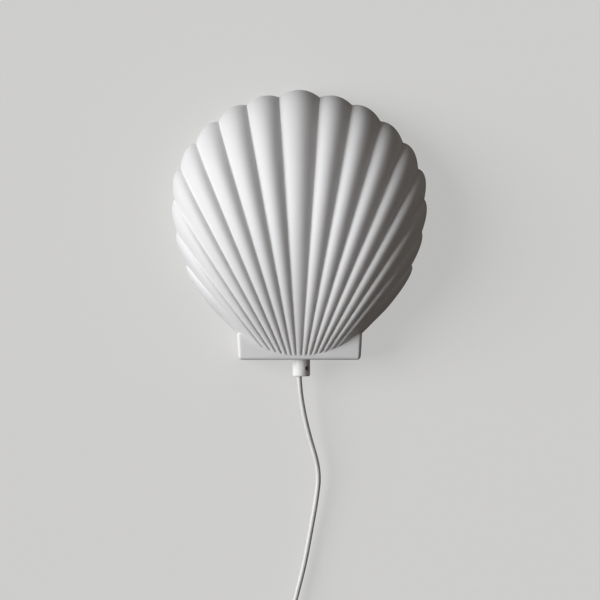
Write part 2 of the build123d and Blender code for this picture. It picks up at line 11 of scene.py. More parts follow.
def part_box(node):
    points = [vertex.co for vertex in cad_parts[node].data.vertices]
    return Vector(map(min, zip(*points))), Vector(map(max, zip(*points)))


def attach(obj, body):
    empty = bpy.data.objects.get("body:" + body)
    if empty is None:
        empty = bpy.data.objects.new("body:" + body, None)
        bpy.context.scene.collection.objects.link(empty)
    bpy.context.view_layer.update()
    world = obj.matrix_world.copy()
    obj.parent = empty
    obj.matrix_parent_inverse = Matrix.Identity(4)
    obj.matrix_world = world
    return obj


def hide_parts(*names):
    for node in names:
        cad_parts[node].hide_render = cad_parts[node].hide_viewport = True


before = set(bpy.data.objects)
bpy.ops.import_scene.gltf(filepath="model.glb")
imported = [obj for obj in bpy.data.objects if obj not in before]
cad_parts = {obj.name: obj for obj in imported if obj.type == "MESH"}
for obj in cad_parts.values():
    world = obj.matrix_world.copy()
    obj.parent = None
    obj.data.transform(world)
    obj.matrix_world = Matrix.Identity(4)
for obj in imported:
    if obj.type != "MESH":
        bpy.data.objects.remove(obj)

logging.basicConfig(level=logging.INFO, format="%(message)s")
log = logging.getLogger("shell_sconce")

MM = 0.001
SAME_PLACE = 1e-6
Colour = tuple[float, float, float]
Point = tuple[float, float, float]


# ---- Node groups and finishes ---------------------------------------------
def new_group(name: str, inputs: dict[str, tuple[str, float]], outputs: dict[str, str]) -> bpy.types.NodeTree:
    """Make an empty shader node group with named sockets.

    Args:
        name: the group's name.
        inputs: socket name to its type and default value.
        outputs: socket name to its type.

    Returns:
        The new node tree, with its group input and output nodes.
    """
    tree = bpy.data.node_groups.new(name, "ShaderNodeTree")
    for label, (kind, value) in inputs.items():
        socket = tree.interface.new_socket(name=label, in_out="INPUT", socket_type=kind)
        if kind == "NodeSocketFloat":
            socket.default_value = value
    for label, kind in outputs.items():
        tree.interface.new_socket(name=label, in_out="OUTPUT", socket_type=kind)
    tree.nodes.new("NodeGroupInput").name = "in"
    tree.nodes.new("NodeGroupOutput").name = "out"
    return tree


def grain_group() -> bpy.types.NodeTree:
    """Fine matt grain with broad soft patches.

    Returns:
        A group that gives a height for bump and a patch mask from 0 to 1.
    """
    tree = new_group(
        "fine_grain",
        {
            "Vector": ("NodeSocketVector", 0.0),
            "Grain Scale": ("NodeSocketFloat", 900.0),
            "Patch Scale": ("NodeSocketFloat", 18.0),
            "Roughening": ("NodeSocketFloat", 0.6),
        },
        {"Height": "NodeSocketFloat", "Patches": "NodeSocketFloat"},
    )
    nodes, links = tree.nodes, tree.links
    grain = nodes.new("ShaderNodeTexNoise")
    grain.inputs["Detail"].default_value = 3.0
    patches = nodes.new("ShaderNodeTexNoise")
    patches.inputs["Detail"].default_value = 5.0
    for texture, scale in ((grain, "Grain Scale"), (patches, "Patch Scale")):
        links.new(nodes["in"].outputs["Vector"], texture.inputs["Vector"])
        links.new(nodes["in"].outputs[scale], texture.inputs["Scale"])
        links.new(nodes["in"].outputs["Roughening"], texture.inputs["Roughness"])
    links.new(grain.outputs["Fac"], nodes["out"].inputs["Height"])
    links.new(patches.outputs["Fac"], nodes["out"].inputs["Patches"])
    return tree


def brushed_group() -> bpy.types.NodeTree:
    """Long fine scratches along the piece's upright axis.

    Returns:
        A group that gives a scratch mask from 0 to 1.
    """
    tree = new_group(
        "brushed_lines",
        {"Vector": ("NodeSocketVector", 0.0), "Fineness": ("NodeSocketFloat", 2400.0)},
        {"Lines": "NodeSocketFloat"},
    )
    nodes, links = tree.nodes, tree.links
    stretch = nodes.new("ShaderNodeMapping")
    stretch.inputs["Scale"].default_value = (1.0, 1.0, 0.02)
    lines = nodes.new("ShaderNodeTexNoise")
    lines.inputs["Detail"].default_value = 2.0
    links.new(nodes["in"].outputs["Vector"], stretch.inputs["Vector"])
    links.new(stretch.outputs["Vector"], lines.inputs["Vector"])
    links.new(nodes["in"].outputs["Fineness"], lines.inputs["Scale"])
    links.new(lines.outputs["Fac"], nodes["out"].inputs["Lines"])
    return tree


GRAIN = grain_group()
BRUSHED = brushed_group()


@dataclass(frozen=True)
class Finish:
    """A surface finish: a colour that drifts a little, a roughness range and a grain."""

    name: str
    colour: Colour
    second_colour: Colour
    roughness: tuple[float, float] = (0.45, 0.6)
    metallic: float = 0.0
    specular: float = 0.5
    coat: float = 0.0
    coat_roughness: float = 0.2
    grain_scale: float = 900.0
    patch_scale: float = 18.0
    colour_span: tuple[float, float] = (0.35, 0.65)
    roughness_span: tuple[float, float] = (0.3, 0.7)
    bump: float = 0.1
    bump_distance: float = 0.0001
    brushed: bool = False

    def material(self) -> bpy.types.Material:
        """Find the finish's material, or build it the first time.

        Returns:
            The finish as a node material.
        """
        made = bpy.data.materials.get(self.name)
        return made if made else self.build()

    def build(self) -> bpy.types.Material:
        """Build the material's nodes.

        Returns:
            The new material.
        """
        material = bpy.data.materials.new(self.name)
        material.use_nodes = True
        nodes, links = material.node_tree.nodes, material.node_tree.links
        shader = nodes["Principled BSDF"]
        place = nodes.new("ShaderNodeTexCoord").outputs["Object"]
        grain = nodes.new("ShaderNodeGroup")
        grain.node_tree = GRAIN
        grain.inputs["Grain Scale"].default_value = self.grain_scale
        grain.inputs["Patch Scale"].default_value = self.patch_scale
        links.new(place, grain.inputs["Vector"])
        mask = grain.outputs["Patches"]
        if self.brushed:
            lines = nodes.new("ShaderNodeGroup")
            lines.node_tree = BRUSHED
            links.new(place, lines.inputs["Vector"])
            mask = lines.outputs["Lines"]
        self.blend_colour(shader, mask)
        self.spread_roughness(shader, mask)
        bump = nodes.new("ShaderNodeBump")
        bump.inputs["Strength"].default_value = self.bump
        bump.inputs["Distance"].default_value = self.bump_distance
        links.new(grain.outputs["Height"], bump.inputs["Height"])
        links.new(bump.outputs["Normal"], shader.inputs["Normal"])
        shader.inputs["Metallic"].default_value = self.metallic
        shader.inputs["Specular IOR Level"].default_value = self.specular
        shader.inputs["Coat Weight"].default_value = self.coat
        shader.inputs["Coat Roughness"].default_value = self.coat_roughness
        return material

    def blend_colour(self, shader: bpy.types.Node, mask: bpy.types.NodeSocket) -> None:
        """Let the base colour drift between the finish's two colours.

        Args:
            shader: the Principled BSDF.
            mask: what says where each colour is.
        """
        nodes, links = shader.id_data.nodes, shader.id_data.links
        ramp = nodes.new("ShaderNodeValToRGB")
        colours = (self.second_colour, self.colour)
        for element, position, colour in zip(ramp.color_ramp.elements, self.colour_span, colours):
            element.position = position
            element.color = (*colour, 1.0)
        links.new(mask, ramp.inputs["Fac"])
        links.new(ramp.outputs["Color"], shader.inputs["Base Color"])

    def spread_roughness(self, shader: bpy.types.Node, mask: bpy.types.NodeSocket) -> None:
        """Let the roughness drift between the finish's two values.

        Args:
            shader: the Principled BSDF.
            mask: what says where each roughness is.
        """
        nodes, links = shader.id_data.nodes, shader.id_data.links
        span = nodes.new("ShaderNodeMapRange")
        for label, value in zip(("From Min", "From Max"), self.roughness_span):
            span.inputs[label].default_value = value
        for label, value in zip(("To Min", "To Max"), self.roughness):
            span.inputs[label].default_value = value
        links.new(mask, span.inputs["Value"])
        links.new(span.outputs["Result"], shader.inputs["Roughness"])


BISQUE = Finish(
    "bisque_porcelain", (0.86, 0.862, 0.868), (0.838, 0.84, 0.846), roughness=(0.55, 0.68), specular=0.35,
    grain_scale=1600.0, patch_scale=22.0, bump=0.12, bump_distance=0.00012,
)
GRIP_PLASTIC = Finish(
    "grip_plastic", (0.84, 0.84, 0.83), (0.81, 0.81, 0.80), roughness=(0.32, 0.42), bump=0.04,
)
HOLDER_PLASTIC = Finish(
    "holder_plastic", (0.83, 0.83, 0.81), (0.8, 0.8, 0.78), roughness=(0.35, 0.45), bump=0.05,
)
CORD_SHEATH = Finish(
    "cord_sheath", (0.82, 0.82, 0.81), (0.78, 0.78, 0.77), roughness=(0.38, 0.48),
    patch_scale=60.0, bump=0.06,
)
SWITCH_PLASTIC = Finish(
    "switch_plastic", (0.85, 0.85, 0.84), (0.83, 0.83, 0.82), roughness=(0.22, 0.3), coat=0.15,
)
PLUG_PLASTIC = Finish("plug_plastic", (0.84, 0.84, 0.83), (0.81, 0.81, 0.8), roughness=(0.4, 0.5), bump=0.08)
TIE_PLASTIC = Finish("tie_plastic", (0.8, 0.8, 0.79), (0.76, 0.76, 0.75), roughness=(0.35, 0.45))
ZINC_STEEL = Finish(
    "zinc_steel", (0.6, 0.61, 0.62), (0.56, 0.57, 0.585), roughness=(0.32, 0.4), metallic=1.0, brushed=True,
)
DARK_SCREW = Finish("dark_screw", (0.09, 0.09, 0.1), (0.05, 0.05, 0.055), roughness=(0.35, 0.5), metallic=0.9)
BRASS = Finish("brass", (0.75, 0.56, 0.27), (0.66, 0.47, 0.2), roughness=(0.25, 0.38), metallic=1.0)
NICKEL = Finish("satin_nickel", (0.7, 0.69, 0.67), (0.6, 0.59, 0.57), roughness=(0.2, 0.32), metallic=1.0)
RUBBER = Finish("black_rubber", (0.03, 0.03, 0.03), (0.02, 0.02, 0.02), roughness=(0.7, 0.85), bump=0.2)
STEATITE = Finish("steatite", (0.78, 0.75, 0.68), (0.72, 0.69, 0.62), roughness=(0.6, 0.75), bump=0.2)
OPAL_GLASS = Finish(
    "opal_glass", (0.88, 0.87, 0.84), (0.86, 0.85, 0.82), roughness=(0.08, 0.14), coat=0.4, bump=0.0,
)
BLACK_GLASS = Finish(
    "black_glass", (0.012, 0.012, 0.015), (0.008, 0.008, 0.01), roughness=(0.08, 0.14), bump=0.0,
)
BULB_BASE = Finish("bulb_base", (0.85, 0.85, 0.84), (0.82, 0.82, 0.81), roughness=(0.3, 0.4))
BROWN_WIRE = Finish("brown_wire", (0.2, 0.09, 0.04), (0.16, 0.07, 0.03), roughness=(0.3, 0.4))
BLUE_WIRE = Finish("blue_wire", (0.03, 0.14, 0.42), (0.02, 0.11, 0.36), roughness=(0.3, 0.4))

FINISHED_NODES = {
    BISQUE: ("shell_shade",),
    RUBBER: ("rubber_washer",),
    ZINC_STEEL: ("hanger_strip", "hanger_angle", "lock_nut", "threaded_nipple", "switch_screws"),
    HOLDER_PLASTIC: ("holder_cap", "holder_barrel"),
    STEATITE: ("holder_insert",),
    BRASS: ("terminal_screws", "screw_sleeve", "side_contact", "centre_contact"),
    NICKEL: ("bulb_contact", "bulb_cap", "plug_pins"),
    BLACK_GLASS: ("bulb_insulator",),
    BULB_BASE: ("bulb_collar",),
    OPAL_GLASS: ("bulb_globe",),
    GRIP_PLASTIC: ("cord_grip",),
    DARK_SCREW: ("grip_screw",),
    BROWN_WIRE: ("lead_brown",),
    BLUE_WIRE: ("lead_blue",),
    CORD_SHEATH: ("cord_lead", "cord_link", "cord_coil", "cord_tail"),
    TIE_PLASTIC: ("coil_tie",),
    SWITCH_PLASTIC: ("switch_back", "switch_front", "switch_rocker"),
    PLUG_PLASTIC: ("plug_body",),
}


# ---- Modelling helpers ------------------------------------------------------
def paint(piece: bpy.types.Object, finish: Finish) -> None:
    """Give a piece one finish all over.

    Args:
        piece: the object that gets it.
        finish: the finish.
    """
    piece.data.materials.clear()
    piece.data.materials.append(finish.material())


def deselect() -> None:
    """Leave edit mode and deselect every object."""
    if bpy.context.object and bpy.context.object.mode != "OBJECT":
        bpy.ops.object.mode_set(mode="OBJECT")
    bpy.ops.object.select_all(action="DESELECT")


def make_active(piece: bpy.types.Object) -> None:
    """Select one object alone and make it the active one.

    Args:
        piece: the object to work on next.
    """
    deselect()
    piece.select_set(True)
    bpy.context.view_layer.objects.active = piece


def settle(piece: bpy.types.Object, name: str) -> bpy.types.Object:
    """Name a piece and move its place, turn and size into its mesh.

    Args:
        piece: the object that was just modelled.
        name: its name in the scene.

    Returns:
        The same object.
    """
    piece.name = name
    piece.data.name = name
    make_active(piece)
    bpy.ops.object.transform_apply(location=True, rotation=True, scale=True)
    return piece


def turned(
    name: str, profile: list[tuple[float, float]], centre: tuple[float, float], corners: int,
) -> bpy.types.Object:
    """Turn a closed body of rings about an upright axis.

    Args:
        name: the piece's name.
        profile: (radius, height) pairs in metres, in order along the surface.
        centre: x and y of the axis, in metres.
        corners: how many corners each ring has.

    Returns:
        The finished closed mesh object.
    """
    deselect()
    radius, height = profile[0]
    bpy.ops.mesh.primitive_circle_add(vertices=corners, radius=radius, location=(*centre, height))
    piece = bpy.context.object
    bpy.ops.object.mode_set(mode="EDIT")
    bpy.ops.mesh.select_all(action="SELECT")
    for next_radius, next_height in profile[1:]:
        bpy.ops.mesh.extrude_edges_move(TRANSFORM_OT_translate={"value": (0, 0, next_height - height)})
        ratio = next_radius / radius
        bpy.ops.transform.resize(value=(ratio, ratio, 1), center_override=(*centre, next_height))
        radius, height = next_radius, next_height
    bpy.ops.mesh.select_all(action="SELECT")
    bpy.ops.mesh.remove_doubles(threshold=SAME_PLACE)
    bpy.ops.mesh.fill_holes(sides=0)
    bpy.ops.mesh.normals_make_consistent(inside=False)
    bpy.ops.object.mode_set(mode="OBJECT")
    return settle(piece, name)


def lofted(
    name: str, rings: list[tuple[float, float, float, float]], centre: tuple[float, float], corners: int,
) -> bpy.types.Object:
    """Loft a closed body through rounded level sections.

    Args:
        name: the piece's name.
        rings: half width, half thickness, height and squareness of each section, in millimetres.
        centre: x and y of the sections' middle, in millimetres.
        corners: how many corners each section has.

    Returns:
        The finished closed mesh object.
    """
    deselect()
    bpy.ops.mesh.primitive_circle_add(vertices=corners, radius=1)
    piece = bpy.context.object
    bpy.ops.object.mode_set(mode="EDIT")
    bpy.ops.mesh.select_all(action="SELECT")
    for _ in rings[1:]:
        bpy.ops.mesh.extrude_edges_move(TRANSFORM_OT_translate={"value": (0, 0, 1)})
    bpy.ops.object.mode_set(mode="OBJECT")
    for vertex in piece.data.vertices:
        half_x, half_y, height, power = rings[round(vertex.co.z)]
        c, s = vertex.co.x, vertex.co.y
        reach = (abs(c) ** power + abs(s) ** power) ** (-1 / power)
        x, y = centre[0] + half_x * c * reach, centre[1] + half_y * s * reach
        vertex.co = (x * MM, y * MM, height * MM)
    piece.data.update()
    make_active(piece)
    bpy.ops.object.mode_set(mode="EDIT")
    bpy.ops.mesh.select_all(action="SELECT")
    bpy.ops.mesh.fill_holes(sides=0)
    bpy.ops.mesh.normals_make_consistent(inside=False)
    bpy.ops.object.mode_set(mode="OBJECT")
    return settle(piece, name)


def dress(piece: bpy.types.Object, finish: Finish, degrees: float) -> None:
    """Shade a shaped piece smooth, give it its finish and report it.

    Args:
        piece: the object whose shape is done.
        finish: its finish.
        degrees: faces that meet at less than this angle are shaded as one.
    """
    make_active(piece)
    bpy.ops.object.shade_smooth_by_angle(angle=math.radians(degrees))
    paint(piece, finish)
    log.info("built %s", piece.name)


def apply_modifier(piece: bpy.types.Object, modifier: bpy.types.Modifier) -> None:
    """Apply one modifier to its piece.

    Args:
        piece: the object that has the modifier.
        modifier: the modifier, which is used up.
    """
    make_active(piece)
    bpy.ops.object.modifier_apply(modifier=modifier.name)


class Combine(Enum):
    """How one closed mesh is combined with another."""

    JOIN = "UNION"
    CUT = "DIFFERENCE"


def combine(piece: bpy.types.Object, other: bpy.types.Object, how: Combine) -> None:
    """Join or cut a piece with another closed mesh, which is used up.

    Args:
        piece: the mesh that stays.
        other: the mesh that is joined to it or cut from it.
        how: whether it is joined or cut.
    """
    modifier = piece.modifiers.new("combine", "BOOLEAN")
    modifier.operation = how.value
    modifier.solver = "EXACT"
    modifier.object = other
    apply_modifier(piece, modifier)
    bpy.data.objects.remove(other)


def box_at(low: Point, high: Point) -> bpy.types.Object:
    """Add a box between two corners, in metres.

    Args:
        low: the lowest corner.
        high: the highest corner.

    Returns:
        The box, with its size in its mesh.
    """
    deselect()
    middle = [(a + b) / 2 for a, b in zip(low, high)]
    bpy.ops.mesh.primitive_cube_add(size=1, location=middle)
    piece = bpy.context.object
    piece.scale = [b - a for a, b in zip(low, high)]
    return settle(piece, "box")


# ---- The ribbed shell ---------------------------------------------------------
@dataclass
class ShellShade:
    """The porcelain shell with its ribs, hollow and hinge block, in millimetres."""

    apex_z: float = -264.0
    fan_half_angle: float = 45.7
    first_groove: float = 0.068
    groove_pitch: float = 0.1145
    crest_reach: tuple[float, ...] = (301.0, 297.0, 291.0, 280.0, 266.0, 247.5, 220.5, 191.0, 157.0)
    groove_reach: tuple[float, ...] = (294.0, 290.5, 281.5, 269.0, 252.0, 229.0, 201.0, 169.0)
    edge_reach: float = 119.0
    rim_depth: float = 13.0
    crown_depth: float = 92.0
    crown_power: float = 2.3
    foot_power: int = 24
    foot_root: float = 0.25
    summit: float = 0.52
    foot_height: float = 38.5
    foot_curve: float = 0.006
    rib_rise: float = 0.25
    groove_lean: float = 1.5
    groove_round: float = 0.12
    groove_probe: float = 2.0
    least_depth: float = 2.0
    inner_half_angle: float = 43.1
    inner_edge_reach: float = 128.0
    hollow_wall: float = 4.0
    hollow_inset: float = 5.0
    hollow_lift: float = 9.0
    hollow_back: float = 3.0
    block_depth: float = 40.0
    block_top: float = -202.5
    block_bottom: float = -229.3
    block_back: tuple[float, float] = (63.0, 61.5)
    block_front: tuple[float, float] = (60.6, 59.2)
    block_edge: float = 3.0
    block_edge_steps: int = 6
    block_overrun: float = 4.0
    block_wall: float = 5.0
    hole_radius: float = 5.3
    hole_corners: int = 48
    hole_length: float = 20.0
    axis: tuple[float, float] = (1.8, -22.0)
    columns_a_rib: int = 14
    columns_a_hollow_span: int = 4
    rows: int = 96
    smooth_angle: float = 38.0

    def groove_angle(self, k: int) -> float:
        """Find where a groove lies.

        Args:
            k: the groove, counted from the middle rib outward, from 1.

        Returns:
            Its lean from upright, in degrees.
        """
        return math.degrees(math.atan(self.first_groove + self.groove_pitch * (k - 1)))

    def foot_reach(self, angle: float) -> float:
        """Find where the shell leaves the block's front.

        Args:
            angle: the cut's lean from upright, in degrees.

        Returns:
            The distance from the apex.
        """
        c, s = math.cos(math.radians(angle)), math.sin(math.radians(angle))
        return 2 * self.foot_height / (c + math.sqrt(c * c - 4 * self.foot_curve * self.foot_height * s * s))

    def swell(self, angle: float, half_angle: float, inset: float) -> tuple[float, float]:
        """Heights above the rim at the block and at the summit.

        Args:
            angle: the section's lean from upright, in degrees.
            half_angle: where the fan ends.
            inset: how far the surface lies inside the outer one.

        Returns:
            The foot's and the summit's height.
        """
        side = min(abs(angle) / half_angle, 1.0)
        foot = (self.block_depth - self.rim_depth - inset) * (1 - side**self.foot_power) ** self.foot_root
        power = self.crown_power
        crown = (self.crown_depth - self.rim_depth - inset) * (1 - side**power) ** (1 / power)
        return foot, crown

    def groove_depth(self, r: float, angle: float, half_angle: float) -> float:
        """Find how far a groove lies below the crests.

        Args:
            r: distance from the apex.
            angle: the cut's lean from upright, in degrees.
            half_angle: where the fan ends.

        Returns:
            The groove's depth, larger where the shell falls off to the side.
        """
        probe = self.groove_probe
        near = min(abs(angle) + probe / 2, half_angle)
        fall = self.swell(near - probe, half_angle, 0)[1] - self.swell(near, half_angle, 0)[1]
        lean = min(self.groove_lean, math.hypot(1, fall / (r * math.radians(probe))))
        return self.rib_rise * self.groove_pitch * r * math.cos(math.radians(angle)) ** 2 * lean

    def section(
        self, angle: float, reach: float, sunk: float, start_z: float, half_angle: float, inset: float,
    ) -> np.ndarray:
        """One upright cut through the shell on a plane through the apex.

        Args:
            angle: the cut's lean from upright, in degrees.
            reach: where it meets the rim, from the apex.
            sunk: 1 in a groove, 0 on a crest.
            start_z: the height at which it starts, inside the block.
            half_angle: where the fan ends.
            inset: how far it lies inside the outer surface.

        Returns:
            Points along the cut, one a row, in the light's own frame.
        """
        c, s = math.cos(math.radians(angle)), math.sin(math.radians(angle))
        start = (start_z - self.apex_z) / c
        leave = self.foot_reach(angle)
        top = leave + (reach - leave) * self.summit
        foot, crown = self.swell(angle, half_angle, inset)
        u = np.linspace(0, 1, self.rows)
        r = start + (reach - start) * np.sin(np.pi / 2 * u)
        climb = (top - r) / (top - leave)
        if crown < foot:
            climb = np.minimum(climb, 1.0)
        rising = crown - (crown - foot) * climb**2
        falling = np.sqrt(np.clip(1 - ((r - top) / (reach - top)) ** 2, 0, 1))
        sink_start = sunk * self.groove_depth(start, angle, half_angle)
        sink_top = sunk * self.groove_depth(top, angle, half_angle)
        slope = (sink_top - sink_start) / (top - start)
        sunk_rise = rising - sink_start - slope * (r - start)
        depth = np.where(r < top, sunk_rise, (crown - sink_top) * falling - slope * (r - top) * falling)
        depth = np.maximum(self.rim_depth + depth, self.least_depth)
        return np.stack([r * s, -depth, self.apex_z + r * c], axis=1)

    def outer_sections(self) -> list[np.ndarray]:
        """Make the cuts through the ribs.

        Returns:
            The cuts, from the left straight side to the right one, closer together in the grooves.
        """
        last = len(self.groove_reach)
        sections = []
        for k in range(-last, last + 1):
            columns = np.arange(self.columns_a_rib + (k == last))
            for share in 0.5 * (1 - np.cos(np.pi * columns / self.columns_a_rib)):
                sections.append(self.rib_section(k, 1 - share if k < 0 else share))
        return sections

    def rib_section(self, k: int, share: float) -> np.ndarray:
        """One cut through rib k.

        Args:
            k: the rib, counted from the middle one, negative to the left.
            share: 0 at its groove nearer the middle, 1 at the outer one.

        Returns:
            Points along the cut.
        """
        n, last = abs(k), len(self.groove_reach)
        outer = self.groove_angle(n + 1) if n < last else self.fan_half_angle
        inner = self.groove_angle(n) if n else -outer
        inner_reach = self.groove_reach[n - 1] if n else self.groove_reach[0]
        outer_reach = self.groove_reach[n] if n < last else self.edge_reach
        on_inner = (1 - 2 * share) * (1 - share)
        on_crest = 4 * share * (1 - share)
        on_outer = share * (2 * share - 1)
        reach = on_inner * inner_reach + on_crest * self.crest_reach[n] + on_outer * outer_reach
        sunk = self.rounded(on_inner + on_outer) if n < last else on_inner
        angle = (inner + (outer - inner) * share) * (-1 if k < 0 else 1)
        return self.section(angle, reach, sunk, self.block_bottom + self.block_edge, self.fan_half_angle, 0)

    def rounded(self, sunk: float) -> float:
        """Round off the bottom of a groove, as slip casting does.

        Args:
            sunk: 1 at the bottom of a sharp groove, 0 on a crest.

        Returns:
            The same with a round bottom.
        """
        a, d = math.sqrt(max(0.0, sunk)), self.groove_round
        if a < 1 - d:
            return a * a
        past = a - (1 - d)
        return (1 - d) ** 2 + 2 * (1 - d) * past - (1 - d) / d * past * past

    def inner_sections(self) -> list[np.ndarray]:
        """Make the cuts through the smooth hollow.

        Returns:
            The cuts, from the left straight side to the right one.
        """
        start = self.block_bottom + self.block_wall + self.hollow_lift
        numbers = range(1, len(self.groove_reach) + 1)
        angles = [self.groove_angle(k) for k in numbers]
        reaches = [self.groove_reach[k - 1] - self.hollow_wall for k in numbers]
        angles = [-self.inner_half_angle] + [-a for a in reversed(angles)] + angles + [self.inner_half_angle]
        edge = self.inner_edge_reach
        reaches = [edge] + list(reversed(reaches)) + reaches + [edge]
        spans = [np.linspace(a, b, self.columns_a_hollow_span + 1)[:-1] for a, b in zip(angles, angles[1:])]
        half_angle, sections = self.inner_half_angle, []
        for angle in np.concatenate(spans + [[angles[-1]]]):
            reach = float(np.interp(angle, angles, reaches))
            sunk = float(abs(angle) < half_angle - SAME_PLACE)
            sections.append(self.section(angle, reach, sunk, start, half_angle, self.hollow_inset))
        return sections

    def closed_bowl(self, sections: list[np.ndarray], back: float) -> bpy.types.Object:
        """Make a closed solid from the cuts: front surface, skirt and flat back.

        Args:
            sections: points along each cut, all with as many rows.
            back: y of the flat back, in millimetres.

        Returns:
            The closed mesh.
        """
        deselect()
        count = len(sections)
        bpy.ops.mesh.primitive_grid_add(x_subdivisions=count - 1, y_subdivisions=self.rows - 1, size=2)
        bowl = bpy.context.object
        places = np.array([v.co for v in bowl.data.vertices])
        column = np.rint((places[:, 0] + 1) / 2 * (count - 1)).astype(int)
        row = np.rint((places[:, 1] + 1) / 2 * (self.rows - 1)).astype(int)
        shaped = np.array(sections)[column, row] * MM
        bowl.data.vertices.foreach_set("co", shaped.astype(np.float32).ravel())
        bowl.data.update()
        bpy.ops.object.mode_set(mode="EDIT")
        bpy.ops.mesh.select_all(action="SELECT")
        bpy.ops.mesh.region_to_loop()
        bpy.ops.mesh.extrude_edges_move(TRANSFORM_OT_translate={"value": (0, MM, 0)})
        bpy.ops.transform.resize(value=(1, 0, 1), center_override=(0, back * MM, 0))
        bpy.ops.mesh.edge_face_add()
        bpy.ops.mesh.select_all(action="SELECT")
        bpy.ops.mesh.normals_make_consistent(inside=False)
        bpy.ops.object.mode_set(mode="OBJECT")
        return bowl

    def block(self, inset: float, back: float) -> bpy.types.Object:
        """Make the hinge block, or the room inside it.

        Args:
            inset: how much smaller it is all round, in millimetres.
            back: y of its back, in millimetres.

        Returns:
            The closed mesh, tapering to the front.
        """
        low = self.block_bottom + inset
        piece = box_at((-1, -(self.block_depth - inset) * MM, low * MM), (1, back * MM, self.block_top * MM))
        for vertex in piece.data.vertices:
            at_front = vertex.co.y < -self.block_depth * MM / 2
            widths = self.block_front if at_front else self.block_back
            half = widths[0] if vertex.co.z > (self.block_top - 1) * MM else widths[1]
            vertex.co.x = math.copysign((half - inset) * MM, vertex.co.x)
        if inset == 0:
            bevel = piece.modifiers.new("edge", "BEVEL")
            bevel.width = self.block_edge * MM
            bevel.segments = self.block_edge_steps
            bevel.limit_method = "NONE"
            apply_modifier(piece, bevel)
            behind_wall = box_at((-0.2, 0, -0.3), (0.2, 0.05, 0))
            combine(piece, behind_wall, Combine.CUT)
        return piece

    def build(self) -> bpy.types.Object:
        """Build the shell, cut its hollow and its hole, and put it on the light.

        Returns:
            The finished porcelain shade.
        """
        shade = self.closed_bowl(self.outer_sections(), 0.0)
        combine(shade, self.block(0.0, self.block_overrun), Combine.JOIN)
        combine(shade, self.closed_bowl(self.inner_sections(), self.hollow_back), Combine.CUT)
        combine(shade, self.block(self.block_wall, self.hollow_back), Combine.CUT)
        deselect()
        bpy.ops.mesh.primitive_cylinder_add(
            vertices=self.hole_corners,
            radius=self.hole_radius * MM,
            depth=self.hole_length * MM,
            location=(self.axis[0] * MM, self.axis[1] * MM, self.block_bottom * MM),
        )
        combine(shade, bpy.context.object, Combine.CUT)
        settle(shade, "porcelain_shade")
        dress(shade, BISQUE, self.smooth_angle)
        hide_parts("shell_shade")
        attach(shade, "light")
        return shade


